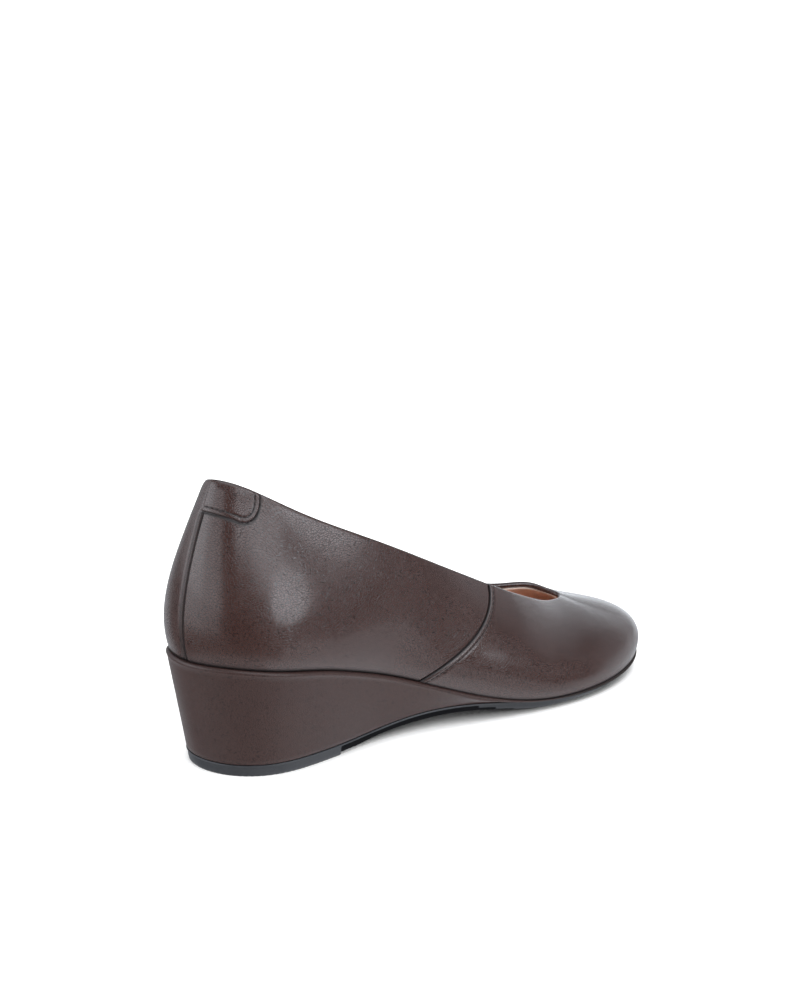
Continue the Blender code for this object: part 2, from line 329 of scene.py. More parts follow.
SOLE = {
    "heel_back": (4.5, 0, 0.4),
    "heel_turn": (4.5, 0, 0.4),
    "heel_side": (4.5, 0, 0.4),
    "heel_front": (4.6, 0, 0.6),
    "shank": (4.7, -0.6, 2.2),
    "waist": (5.6, 1.1, 2.6),
    "seam": (7.4, 3.1, 2.6),
    "joint": (7.2, 3.5, 2.4),
    "ball": (4.2, 0.6, 1.4),
    "tread": (2.5, -0.8, 1.2),
    "toe_side": (2.8, -0.1, 2),
    "toe_turn": (5, 3, 3.2),
    "toe_tip": (6.8, 4.6, 3.6),
}
STATIONS = tuple(FEATHER)
SEAM, TOE = STATIONS.index("seam"), len(STATIONS) - 1
AROUND = 2 * TOE
TIP_RISE = 0.5
print("sections:", ", ".join(STATIONS))


# %% Smooth closed curve through the sections
def section_rows():
    """One row of sizes for each section, down the right side to the toe and back up the left."""
    rows = []
    for index in range(AROUND):
        side = -1 if index <= TOE else 1
        width = "right" if side < 0 else "left"
        name = STATIONS[index if index <= TOE else AROUND - index]
        foot = dict(zip(FEATHER_COLUMNS, FEATHER[name]))
        rim = dict(zip(TOPLINE_COLUMNS, TOPLINE[name]))
        rise = dict(zip(RISE_COLUMNS, RISE[name]))
        sole = dict(zip(SOLE_COLUMNS, SOLE[name]))
        share = TIP_RISE if index == TOE else float(side > 0)
        rows.append(
            (foot["x"], side * foot[width], foot["z"])
            + (rim["x"], side * rim[width], rim["z"] + share * rim["rise"])
            + (-side * rise["sweep"], rise["low"], rise["lean"], rise["high"], foot["inset"])
            + (sole["cover_z"], sole["tread_z"], sole["recess"])
        )
    return np.array(rows, float)


ROWS = section_rows()
STEPS = np.linalg.norm(np.roll(ROWS, -1, axis=0)[:, :2] - ROWS[:, :2], axis=1)
KNOTS = np.concatenate([[0], np.cumsum(STEPS)])


def curve_bends():
    """How hard the closed curve bends at each section to run smoothly through them all."""
    matrix, bend = np.zeros((AROUND, AROUND)), np.zeros_like(ROWS)
    for index in range(AROUND):
        before, after, following = STEPS[index - 1], STEPS[index], (index + 1) % AROUND
        matrix[index, index - 1] += before
        matrix[index, index] += 2 * (before + after)
        matrix[index, following] += after
        bend[index] = (ROWS[following] - ROWS[index]) / after
        bend[index] -= (ROWS[index] - ROWS[index - 1]) / before
    return np.linalg.solve(matrix, 6 * bend)


BENDS = curve_bends()
print("girth at the feather line in mm:", round(KNOTS[-1]))


# %% Any place on the last
def plan_directions(slopes):
    """Unit directions along a ring, seen from above, and outward from it."""
    along = slopes / np.linalg.norm(slopes, axis=1)[:, None]
    return along, np.stack([along[:, 1], -along[:, 0]], axis=1)


class Last:
    """The sizes of the last at any places round it."""

    def __init__(self, places):
        at = np.interp(np.mod(places, AROUND), np.arange(AROUND + 1), KNOTS)
        first = np.clip(np.searchsorted(KNOTS, at, side="right") - 1, 0, AROUND - 1)
        second = (first + 1) % AROUND
        span, done = STEPS[first][:, None], (at - KNOTS[first])[:, None]
        left = span - done
        start = ROWS[first] / span - BENDS[first] * span / 6
        end = ROWS[second] / span - BENDS[second] * span / 6
        cubic = (BENDS[first] * left**3 + BENDS[second] * done**3) / (6 * span)
        sizes = cubic + start * left + end * done
        slopes = (BENDS[second] * done**2 - BENDS[first] * left**2) / (2 * span) - start + end
        self.base, self.top = sizes[:, 0:3], sizes[:, 3:6]
        self.along, self.out = plan_directions(slopes[:, 0:2])
        self.top_out = plan_directions(slopes[:, 3:5])[1]
        self.sweep, self.low, self.lean, self.high = sizes[:, 6:10].T
        self.inset, self.cover_z, self.tread_z, self.recess = sizes[:, 10:14].T

    def leather(self, height):
        """The leather's mean outer face at a share of its rise."""
        sweep, lean = np.radians([self.sweep, self.lean])
        level = math.sin(FLARE) * self.out + math.cos(FLARE) * np.sin(sweep)[:, None] * self.along
        rising = np.column_stack([level, math.cos(FLARE) * np.cos(sweep)])
        falling = np.column_stack([np.sin(lean)[:, None] * self.top_out, -np.cos(lean)])
        lower = self.base + self.low[:, None] * rising
        upper = self.top + self.high[:, None] * falling
        share = np.broadcast_to(height, len(self.base))[:, None]
        rest = 1 - share
        middle = 3 * rest**2 * share * lower + 3 * rest * share**2 * upper
        return rest**3 * self.base + middle + share**3 * self.top

    def level(self, offset, z):
        """The feather line moved outward by an offset and set to a height."""
        plan = self.base[:, :2] + np.broadcast_to(offset, len(self.base))[:, None] * self.out
        return np.column_stack([plan, np.broadcast_to(z, len(self.base))])


def on_last(places, heights):
    """Points on the leather for places and heights of any shape."""
    places, heights = np.broadcast_arrays(places, heights)
    return Last(places.ravel()).leather(heights.ravel()).reshape(places.shape + (3,))


NUDGE = 0.001


def directions(places, heights):
    """Along the shoe and up the leather, in millimetres for one section or one rise, and outward."""
    along = (on_last(places + NUDGE, heights) - on_last(places - NUDGE, heights)) / (2 * NUDGE)
    up = (on_last(places, heights + NUDGE) - on_last(places, heights - NUDGE)) / (2 * NUDGE)
    out = np.cross(along, up)
    return along, up, out / np.linalg.norm(out, axis=-1)[..., None]


def off_last(places, heights, offset):
    """Points that stand out from the leather by an offset in millimetres."""
    _, _, outward = directions(places, heights)
    return on_last(places, heights) + np.broadcast_to(offset, np.shape(places))[..., None] * outward


SOCK_INSET, PER_SECTION = 3.0, 4
sock_edge = Last(np.arange(AROUND * PER_SECTION) / PER_SECTION).level(-SOCK_INSET, 0)
sock_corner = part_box("sock")[0]
SHIFT = np.append(np.array(sock_corner)[:2] / MM - sock_edge[:, :2].min(axis=0), 0)
print("from the last's own corner to the packed frame in mm:", SHIFT.round(2))

# %% [markdown]
# Upper leather, lining and sole are all sheets that follow the last. A sheet starts as a flat grid,
# like a cut piece of leather: its columns run round the shoe and its rows run up. Pulling every
# point by hand would never follow the last, so the grid is laid on it point by point, its doubled
# points are merged where it closes on itself, and Solidify gives it the leather's thickness.


# %% Lay a flat grid on the last
MERGE_DISTANCE, COLUMN_GROWTH = 1e-6, 0.22


def lay_sheet(name, points):
    """A grid laid on rows and columns of points in millimetres, and the row and column of each."""
    rows, columns = points.shape[:2]
    bpy.ops.object.select_all(action="DESELECT")
    bpy.ops.mesh.primitive_grid_add(x_subdivisions=columns - 1, y_subdivisions=rows - 1, size=1)
    sheet = bpy.context.object
    sheet.name = sheet.data.name = name
    flat = np.empty(len(sheet.data.vertices) * 3)
    sheet.data.vertices.foreach_get("co", flat)
    flat = flat.reshape(-1, 3)
    column = np.rint((flat[:, 0] + 0.5) * (columns - 1)).astype(int)
    row = np.rint((flat[:, 1] + 0.5) * (rows - 1)).astype(int)
    sheet.data.vertices.foreach_set("co", ((points[row, column] + SHIFT) * MM).ravel())
    return sheet, row, column


def merge_doubles():
    """Closes the sheet in hand where its points coincide, and smooths it."""
    bpy.ops.object.mode_set(mode="EDIT")
    bpy.ops.mesh.select_all(action="SELECT")
    bpy.ops.mesh.remove_doubles(threshold=MERGE_DISTANCE)
    bpy.ops.object.mode_set(mode="OBJECT")
    bpy.ops.object.shade_smooth()


def give_thickness(piece, wall):
    """Solidify grows the sheet inward from its outer face."""
    bpy.ops.object.modifier_add(type="SOLIDIFY")
    shell = piece.modifiers[-1]
    shell.thickness = wall * MM
    shell.offset = -1
    bpy.ops.object.modifier_apply(modifier=shell.name)


def paint_points(piece, name, values):
    """Keeps one number for each point, for the finish to read."""
    numbers = piece.data.attributes.new(name, "FLOAT", "POINT")
    numbers.data.foreach_set("value", values.astype(np.float32))


def settle(piece, material, slot, *nodes):
    """Gives a finished piece its finish and its place in the frame."""
    if not piece.data.materials:
        piece.data.materials.append(material)
    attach(piece, "root")
    if nodes:
        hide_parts(*nodes)
    piece.data.calc_loop_triangles()
    print(piece.name, "triangles:", len(piece.data.loop_triangles))


def spaced_places(start, stop, seams, finest, widest):
    """Columns that crowd together near the seams, where the leather bends sharply."""
    places = [start]
    while places[-1] < stop:
        near = min(abs(places[-1] - seam) for seam in seams)
        places.append(places[-1] + min(widest, finest + COLUMN_GROWTH * near))
    places[-1] = stop
    return np.array(places)


print("sheet tools ready")

# %% [markdown]
# The finish of the upper is dark brown calf with a fine pebbled grain and a soft semi-gloss. The
# grain is a field of small pebbles, wider than tall, with creases in between painted darker as
# shade, and finer pores on top, as bump at their real size. A slow mottle varies the brown and the
# gloss. Seams, stitch channels, folded edges and grooves are painted darker and duller, as the
# shade that falls in them: that share is painted on the points of each piece as the attribute
# "seam".

# %% Leather finish
# Scales count swells to a metre and depths are in millimetres.
PORE_SCALE, WAVE_SCALE, MOTTLE_SCALE = 2600, 150, 45
PEBBLE_FLAT, CREASE_WIDTH, CREASE_SHADE_DARK = 1.5, 0.12, 0.42
WAVE_DEPTH, PORE_SHARE = 0.04, 0.25
SEAM_SHADE_DARK, SEAM_DULL = 0.12, 0.5
BROWN, WARM_BROWN = (0.040, 0.0175, 0.0145), (0.048, 0.0215, 0.0175)


def darker(colour, share):
    """A colour at a share of its brightness."""
    return tuple(share * part for part in colour)


def leather_finish(name, roughness, specular, grain, cell):
    """Dyed leather of a gloss, with pebbles of a depth and a width in millimetres."""
    material, tree, shader, place = new_finish(name, roughness, specular)
    flat = add_node(tree, "ShaderNodeMapping")
    flat.inputs["Scale"].default_value = (1, 1, PEBBLE_FLAT)
    connect(tree, place, flat.inputs["Vector"])
    pebbles = add_node(tree, "ShaderNodeTexVoronoi", feature="DISTANCE_TO_EDGE", scale=1 / (cell * MM))
    connect(tree, flat.outputs["Vector"], pebbles.inputs["Vector"])
    crown = rescale(tree, pebbles.outputs["Distance"], (0, CREASE_WIDTH), shape="SMOOTHSTEP")
    mottle = noise_at(tree, place, MOTTLE_SCALE, 4, 0.6)
    dyed = mix_colours(tree, rescale(tree, mottle, (0.3, 0.7)), BROWN, WARM_BROWN)
    # Painted shade: the grain's creases are darker in the base colour.
    dyed = mix_colours(tree, crown, darker(BROWN, CREASE_SHADE_DARK), dyed)
    # Painted shade: points marked "seam" are darkened toward a near-black brown.
    seam = add_node(tree, "ShaderNodeAttribute", attribute_name="seam").outputs["Fac"]
    dyed = mix_colours(tree, seam, dyed, darker(BROWN, SEAM_SHADE_DARK))
    connect(tree, dyed, shader.inputs["Base Color"])
    gloss = rescale(tree, mottle, (0.25, 0.75), (roughness - 0.05, roughness + 0.06))
    dull = add_node(tree, "ShaderNodeMath", operation="MULTIPLY_ADD")
    dull.inputs[1].default_value = SEAM_DULL
    connect(tree, seam, dull.inputs[0])
    connect(tree, gloss, dull.inputs[2])
    connect(tree, dull.outputs["Value"], shader.inputs["Roughness"])
    relief = add_bump(tree, noise_at(tree, place, WAVE_SCALE), WAVE_DEPTH, 0.5)
    relief = add_bump(tree, crown, grain, 1.0, relief)
    relief = add_bump(tree, noise_at(tree, place, PORE_SCALE), PORE_SHARE * grain, 0.6, relief)
    connect(tree, relief, shader.inputs["Normal"])
    return material


# Roughness, specular level, and the depth and width of the pebbles.
UPPER_GRAIN, WEDGE_GRAIN = (0.17, 0.72, 0.024, 1.1), (0.36, 0.45, 0.028, 0.85)
upper_leather = leather_finish("upper_leather_finish", *UPPER_GRAIN)
tab_leather = leather_finish("tab_leather_finish", *UPPER_GRAIN)
wedge_leather = leather_finish("wedge_leather_finish", *WEDGE_GRAIN)
print("leather finishes:", upper_leather.name, tab_leather.name, wedge_leather.name)

# %% [markdown]
# Both parts of the upper are folded sheets. From the foot up, a sheet curls out of the groove above
# the wedge, follows the last, rolls over the topline in a half circle and runs a few millimetres
# down inside, where the lining covers it. The vamp lies 0.6 mm proud of the quarters, as it laps
# over them at the side seam.

# %% One folded sheet of upper leather
VAMP_FACE, QUARTER_FACE, LEATHER_INSIDE = 0.3, -0.3, -1.7
UPPER_WALL = 0.5
FOOT_CURL = ((1.1, 1.9), (1.05, 1.3), (0.85, 0.75), (0.5, 0.3), (0.2, 0.07))
ROLL_TURNS = 9
INSIDE_RUN = (0.7, 1.6, 2.8, 4.0)
TAB_LINE = np.linspace(0.755, 0.792, 10)
OUTSIDE_SHARES = np.sort(np.concatenate([np.linspace(0, 1, 58) ** 1.08, TAB_LINE]))
SIDE_SEAMS = ((SEAM, 1), (AROUND - SEAM, -1))


def topline_roll(places, face, inside, runs, duck=0.0):
    """The height at which a sheet starts to roll over the topline, and its rows from there on.

    The roll is a half circle from the outer face to the inner one. It ducks below the topline of
    the last by a given number of millimetres and then runs down inside.
    """
    rim = np.ones_like(places)
    _, rise, outward = directions(places, rim)
    length = np.linalg.norm(rise, axis=-1)
    rise = rise / length[:, None]
    radius = (face - inside) / 2
    depth = radius + duck
    reach = 1 - depth / length
    middle = off_last(places, rim, (face + inside) / 2) - depth[:, None] * rise
    rows = []
    for angle in np.linspace(0, math.pi, ROLL_TURNS)[1:]:
        rows.append(middle + radius[:, None] * (math.cos(angle) * outward + math.sin(angle) * rise))
    rows += [off_last(places, reach - run / length, inside) for run in runs]
    return reach, rows


def folded_leather(places, face, duck=0.0):
    """Rows of points for a sheet whose outer face stands out from the last by a given function."""
    foot, rim = np.zeros_like(places), np.ones_like(places)
    _, rise, _ = directions(places, foot)
    rise = rise / np.linalg.norm(rise, axis=-1)[:, None]
    foot_face = face(places, foot)
    rows = [off_last(places, foot, foot_face - inset) - drop * rise for drop, inset in FOOT_CURL]
    reach, roll = topline_roll(places, face(places, rim), LEATHER_INSIDE, INSIDE_RUN, duck)
    for share in OUTSIDE_SHARES:
        rows.append(off_last(places, share * reach, face(places, share * reach)))
    return np.array(rows + roll)


INSIDE_ROWS = ROLL_TURNS - 1 + len(INSIDE_RUN)
HEIGHT_OF_ROW = np.concatenate([np.zeros(len(FOOT_CURL)), OUTSIDE_SHARES, np.ones(INSIDE_ROWS)])


def across(places, heights, seam):
    """Distance in millimetres from a seam that runs up the leather at one place, positive past it."""
    along, up, _ = directions(np.full_like(heights, seam), heights)
    width = np.linalg.norm(np.cross(along, up), axis=-1) / np.linalg.norm(up, axis=-1)
    return (np.mod(places - seam + TOE, AROUND) - TOE) * width


def trough(distance, width, depth):
    """A soft valley of a width and depth, or a ridge where the depth is negative."""
    return -depth * np.exp(-((distance / width) ** 2))


def rounded_edge(distance, radius):
    """How far a folded edge of a given radius has dropped at a distance inside it."""
    inside = np.clip(distance, 0, radius)
    return radius - np.sqrt(radius**2 - (radius - inside) ** 2)


print("leather faces in mm:", VAMP_FACE, QUARTER_FACE, "inside", LEATHER_INSIDE)

# %% [markdown]
# Leather that has been pulled over a last is never quite even. A few soft folds are listed, each
# from one place on the leather to another, with a width and a depth in millimetres. They are
# shallow, as on a new shoe, and show only as bends in the sheen.

# %% Soft folds
FOLD_COLUMNS = ("from_place", "from_height", "to_place", "to_height", "width", "depth")
FOLDS = {
    "flex_front": (8.3, 0.10, 7.7, 0.62, 4.5, 0.13),
    "flex_back": (7.3, 0.12, 6.8, 0.55, 4.0, 0.06),
    "toe_side": (9.8, 0.25, 10.8, 0.50, 5.0, 0.15),
    "inner_flex_front": (15.7, 0.10, 16.3, 0.62, 4.5, 0.13),
    "inner_flex_back": (16.7, 0.12, 17.2, 0.55, 4.0, 0.06),
    "counter_edge": (3.4, 0.08, 3.0, 0.60, 4.0, 0.12),
    "inner_counter_edge": (20.6, 0.08, 21.0, 0.60, 4.0, 0.12),
}
FOLD_STEPS = 80


def fold_lines():
    """Each fold as a line on the leather, its fade toward both ends, its width and its depth."""
    lines = []
    for row in FOLDS.values():
        fold = dict(zip(FOLD_COLUMNS, row))
        share = np.linspace(0, 1, FOLD_STEPS)
        places = fold["from_place"] + share * (fold["to_place"] - fold["from_place"])
        heights = fold["from_height"] + share * (fold["to_height"] - fold["from_height"])
        fade = np.sin(math.pi * share) ** 2
        lines.append((on_last(places, heights), fade, fold["width"], fold["depth"]))
    return lines


FOLD_LINES = fold_lines()


def soft_folds(places, heights):
    """Millimetres by which the folds press the leather in."""
    points = on_last(places, heights).reshape(-1, 3)
    pressed = np.zeros(len(points))
    for line, fade, width, depth in FOLD_LINES:
        gap = np.linalg.norm(points[:, None] - line[None], axis=2)
        nearest = gap.argmin(axis=1)
        pressed += trough(gap.min(axis=1), width, depth) * fade[nearest]
    return pressed.reshape(np.shape(places))


print("soft folds:", len(FOLD_LINES))

# %% [markdown]
# The two quarters meet at the back in one closing seam: a soft valley, a strip that stands up beside
# it and a stitched channel. At each side the quarter runs on under the vamp. It sinks a little next
# to the vamp's edge, which gives the seam a dark line. Painted shade also darkens the lines of these
# seams, the tab's edge and the feather line.
#
# The inner quarter has a tail that laps over the top of the back seam, the heel tab. The outer
# quarter also sinks along the tab's edge, whose rounded corner comes from a reach that shrinks
# toward its foot. Round the centre back the topline curls inward.

# %% Edge of the heel tab
TAB_START, TAB_REACH, TAB_FOOT = 0.05, 1.68, 0.765
TAB_CORNER, TAB_SQUARE = 0.32, 0.85
TAB_STEPS = 160


def tab_outline(shares):
    """Reach of the tab in sections, for shares of its height."""
    turn = 1 - np.minimum(1, np.asarray(shares) / TAB_SQUARE)
    return TAB_REACH * (1 - TAB_CORNER + TAB_CORNER * np.sqrt(1 - turn**2))


def tab_path():
    """Places and heights along the tab's edge: from the back seam along its foot and up its front."""
    up = np.linspace(0, 1, TAB_STEPS)
    front = tab_outline(up)
    places = np.concatenate([np.linspace(TAB_START, front[0], TAB_STEPS)[:-1], front])
    heights = np.concatenate([np.zeros(TAB_STEPS - 1), up])
    return places, TAB_FOOT + (1 - TAB_FOOT) * heights


tab_edge = on_last(*tab_path())


def edge_distance(points):
    """Distance from the tab's edge in millimetres."""
    gap = np.linalg.norm(points.reshape(-1, 1, 3) - tab_edge[None], axis=2).min(axis=1)
    return gap.reshape(points.shape[:-1])


tab_steps = np.linalg.norm(np.diff(tab_edge, axis=0), axis=1)
print("edge of the heel tab in mm:", round(tab_steps.sum()))

# %% Quarters
QUARTER_TAIL, TAIL_DUCK, TAIL_SLOPE, FAR_SIDE = 0.16, 1.2, 0.06, 50
BACK_STITCH, BACK_STITCH_PLACES = 1.5, (0.06, 0.1, 0.14, 0.18)
# Valley, strip and channel of the back seam: millimetres past it, width and depth.
BACK_RIPPLES = ((0, 0.55, 0.38), (0.85, 0.4, -0.16), (BACK_STITCH, 0.33, 0.5))
BACK_END, BACK_SHADE_END = (TAB_FOOT + 0.02, TAB_FOOT - 0.03), (TAB_FOOT + 0.01, TAB_FOOT - 0.01)
SIDE_LEAD, SIDE_TROUGH, SIDE_SINK, SIDE_RUN = 0.2, (0.55, 0.4), 0.9, 1.2
TAB_FACE, TAB_TROUGH = 0.0, (0.5, 0.25)
TAIL_PLACES, TAIL_END, TAIL_HEIGHTS = (-1.5, -0.2), (TAB_START + 0.1, TAB_START), (0.55, TAB_FOOT)
CURL_DEPTH, CURL_RUN, CURL_PLACES = 0.7, 3.5, (1.7, 0.6)
# Widths of the painted shade lines in millimetres; that of a side seam narrows with height.
VALLEY_SHADE, VALLEY_LINE, STITCH_LINE = 0.5, 0.6, 0.42
SIDE_LINE, SIDE_NARROWS, TAB_LINE_WIDTH, FOOT_LINE = 0.75, 0.35, 0.5, 0.7


def smooth_step(values, start, end):
    """0 at the start, 1 at the end and a soft S in between."""
    share = np.clip((values - start) / (end - start), 0, 1)
    return share**2 * (3 - 2 * share)


def heel_curl(places, heights):
    """How far the leather round the centre back curls inward below the topline."""
    _, rise, _ = directions(places, np.ones_like(heights))
    below_rim = (1 - heights) * np.linalg.norm(rise, axis=-1)
    near_back = smooth_step(np.abs(np.mod(places + TOE, AROUND) - TOE), *CURL_PLACES)
    return CURL_DEPTH * near_back * np.clip(1 - below_rim / CURL_RUN, 0, 1) ** 2


def quarter_face(places, heights):
    """How far the quarters' outer face stands out from the last."""
    back = across(places, heights, 0)
    lap = sum(trough(back - past, width, depth) for past, width, depth in BACK_RIPPLES)
    tail = smooth_step(places, *TAIL_PLACES) * smooth_step(places, *TAIL_END)
    tail = tail * smooth_step(heights, *TAIL_HEIGHTS)
    face = QUARTER_FACE + lap * smooth_step(heights, *BACK_END) + (TAB_FACE - QUARTER_FACE) * tail
    for seam, side in SIDE_SEAMS:
        gap = side * across(places, heights, seam)
        sunk = SIDE_SINK * np.clip(gap / SIDE_RUN, 0, 1) * (gap < FAR_SIDE)
        face = face + trough(gap + SIDE_LEAD, *SIDE_TROUGH) - sunk
    tab = trough(edge_distance(on_last(places, heights)), *TAB_TROUGH)
    return face + tab + soft_folds(places, heights) - heel_curl(places, heights)


def seam_shade(distance, width):
    """1 on a line of painted shade and 0 away from it."""
    return np.exp(-((distance / width) ** 2))


def foot_shade(places, heights):
    """A line of painted shade along the feather line, where the leather goes under."""
    _, rise, _ = directions(places, np.zeros_like(places))
    return seam_shade(heights * np.linalg.norm(rise, axis=-1), FOOT_LINE)


quarter_seams = (-SEAM, 0, *BACK_STITCH_PLACES, TAB_REACH, SEAM)
quarter_places = spaced_places(-SEAM - QUARTER_TAIL, SEAM + QUARTER_TAIL, quarter_seams, 0.01, 0.075)
quarter_duck = TAIL_DUCK * smooth_step(np.abs(quarter_places), SEAM, SEAM + TAIL_SLOPE)
quarter_rows = folded_leather(quarter_places, quarter_face, quarter_duck)
quarters, row, column = lay_sheet("quarters", quarter_rows)
height, place = HEIGHT_OF_ROW[row], quarter_places[column]
# Painted shade: dark lines along the back seam's valley and stitch channel, the feather line, the tab's
# edge and the side seams.
back = across(place, height, 0)
sewn = VALLEY_SHADE * seam_shade(back, VALLEY_LINE)
sewn = np.maximum(sewn, seam_shade(back - BACK_STITCH, STITCH_LINE))
shades = [sewn * smooth_step(height, *BACK_SHADE_END), foot_shade(place, height)]
shades.append(seam_shade(edge_distance(on_last(place, height)), TAB_LINE_WIDTH))
for seam, _ in SIDE_SEAMS:
    shades.append(seam_shade(across(place, height, seam), SIDE_LINE - SIDE_NARROWS * height))
paint_points(quarters, "seam", np.maximum.reduce(shades))
merge_doubles()
give_thickness(quarters, UPPER_WALL)
settle(quarters, upper_leather, "upper_leather", "upper")

# %% [markdown]
# The vamp covers the front of the foot. Its edges at the two side seams are folded under, so they
# are round and stand up from the quarters, and one row of stitches follows each edge in a shallow
# channel. The toe is plain.

# %% Vamp
EDGE_ROUND, VAMP_STITCH = 0.9, 1.5
VAMP_CHANNEL, VAMP_RIDGE = (VAMP_STITCH, 0.32, 0.2), (0.8, 0.4, -0.08)
# Widths and share of the painted shade lines along the vamp's edges and stitch channels.
EDGE_LINE, CHANNEL_SHADE, CHANNEL_LINE = 0.3, 0.45, 0.3


def vamp_face(places, heights):
    """How far the vamp's outer face stands out from the last."""
    face = np.full(np.shape(places), VAMP_FACE)
    for seam, side in SIDE_SEAMS:
        gap = side * across(places, heights, seam)
        face = face - rounded_edge(gap, EDGE_ROUND)
        for inside, width, depth in (VAMP_CHANNEL, VAMP_RIDGE):
            face = face + trough(gap - inside, width, depth)
    return face + soft_folds(places, heights)


vamp_places = spaced_places(SEAM, AROUND - SEAM, (SEAM, AROUND - SEAM), 0.004, 0.075)
vamp, row, column = lay_sheet("vamp", folded_leather(vamp_places, vamp_face))
height, place = HEIGHT_OF_ROW[row], vamp_places[column]
# Painted shade: dark lines along the feather line, the folded edges and the stitch channels.
shades = [foot_shade(place, height)]
for seam, _ in SIDE_SEAMS:
    gap = np.abs(across(place, height, seam))
    shades.append(seam_shade(gap, EDGE_LINE))
    shades.append(CHANNEL_SHADE * seam_shade(gap - VAMP_STITCH, CHANNEL_LINE))
paint_points(vamp, "seam", np.maximum.reduce(shades))
merge_doubles()
give_thickness(vamp, UPPER_WALL)
settle(vamp, upper_leather, "upper_leather", "upper")

# %% [markdown]
# The heel tab is the inner quarter's tail. Its edge is folded and rounded, one row of stitches
# follows it, and at the top it rolls over the topline with the quarters. At the back seam it is
# level with the inner quarter, so no edge shows there.

# %% Heel tab
TAB_INSIDE, TAB_INSIDE_RUN, TAB_WALL = -2.3, (1.0, 2.4, 3.8), 0.3
TAB_ROUND, TAB_DROP = 0.6, 1.2
TAB_STITCH, TAB_CHANNEL = 1.9, (0.28, 0.16)
TAB_EDGE_LINE, TAB_STITCH_SHADE, TAB_STITCH_LINE = 0.3, 0.95, 0.27
TAB_ROWS, TAB_COLUMNS = 44, 60

crowd = np.sin(np.linspace(0, 1, TAB_COLUMNS) * math.pi / 2)
shares = 1 - np.cos(np.linspace(0, 1, TAB_ROWS) * math.pi / 2)
tab_places = TAB_START + (tab_outline(shares) - TAB_START)[:, None] * crowd[None]
tab_heights = np.broadcast_to(TAB_FOOT + (1 - TAB_FOOT) * shares[:, None], tab_places.shape)


def tab_face(places, heights):
    """How far the tab's outer face stands out from the last."""
    gap = edge_distance(on_last(places, heights))
    face = TAB_FACE - TAB_DROP * rounded_edge(gap, TAB_ROUND) + trough(gap - TAB_STITCH, *TAB_CHANNEL)
    return face - heel_curl(places, heights)


top_face = tab_face(tab_places[-1], np.ones(TAB_COLUMNS))
reach, roll = topline_roll(tab_places[-1], top_face, TAB_INSIDE, TAB_INSIDE_RUN)
tab_rows = []
for share, places in zip(shares, tab_places):
    heights = TAB_FOOT + share * (reach - TAB_FOOT)
    tab_rows.append(off_last(places, heights, tab_face(places, heights)))
heel_tab, row, column = lay_sheet("heel_tab_leather", np.array(tab_rows + roll))
# Painted shade: dark lines along the tab's folded edge and its stitch channel.
outer = row < TAB_ROWS
edge_gap = edge_distance(on_last(tab_places, tab_heights))[row[outer], column[outer]]
sewn = TAB_STITCH_SHADE * seam_shade(edge_gap - TAB_STITCH, TAB_STITCH_LINE)
shade = np.zeros(len(row))
shade[outer] = np.maximum(seam_shade(edge_gap, TAB_EDGE_LINE), sewn)
paint_points(heel_tab, "seam", shade)
merge_doubles()
give_thickness(heel_tab, TAB_WALL)
settle(heel_tab, tab_leather, "tab_leather", "heel_tab")

# %% [markdown]
# Inside, a thin tan lining covers the leather and ends in a raw cut edge a little below the
# topline, which shows as a pale line. The lining is the same kind of sheet, turned to face inward,
# and its paler top edge is painted on its points.


# %% Lining finish
def lining_finish(name, roughness):
    """Undyed lining leather with a soft nap, paler where it is cut."""
    material, tree, shader, place = new_finish(name, roughness, LINING_SPECULAR)
    mottle = noise_at(tree, place, TAN_SCALE, 4, 0.6)
    nap = noise_at(tree, place, NAP_SCALE, 3, 0.6)
    tanned = mix_colours(tree, rescale(tree, mottle, (0.3, 0.7)), TAN, BROWN_TAN)
    edge = add_node(tree, "ShaderNodeAttribute", attribute_name="raw_edge").outputs["Fac"]
    connect(tree, mix_colours(tree, edge, tanned, RAW_PEACH), shader.inputs["Base Color"])
    gloss = rescale(tree, nap, (0.2, 0.8), (roughness - 0.08, roughness + 0.1))
    connect(tree, gloss, shader.inputs["Roughness"])
    relief = add_bump(tree, noise_at(tree, place, QUILT_SCALE), QUILT_DEPTH, 0.5)
    connect(tree, add_bump(tree, nap, NAP_DEPTH, 0.8, relief), shader.inputs["Normal"])
    return material


TAN, BROWN_TAN, RAW_PEACH = (0.85, 0.60, 0.48), (0.75, 0.50, 0.39), (0.95, 0.80, 0.70)
TAN_SCALE, NAP_SCALE, QUILT_SCALE = 70, 2200, 300
NAP_DEPTH, QUILT_DEPTH, LINING_SPECULAR = 0.03, 0.08, 0.3
lining_leather = lining_finish("lining_finish", 0.62)
sock_leather = lining_finish("sock_finish", 0.66)
print("lining finishes:", lining_leather.name, sock_leather.name)

# %% Lining
LINING_FACE, LINING_WALL, LINING_BELOW_RIM = -2.35, 0.6, 2.3
LINING_COLUMNS, LINING_ROWS, LINING_SPAN = 12 * AROUND + 1, 40, (0.01, 0.97)
# The raw edge in millimetres, its rows as shares of it, and the lining's usual height.
RAW_EDGE, RAW_ROWS, LINING_HEIGHT = 0.7, (1.25, 1, 0.5, 0), 60

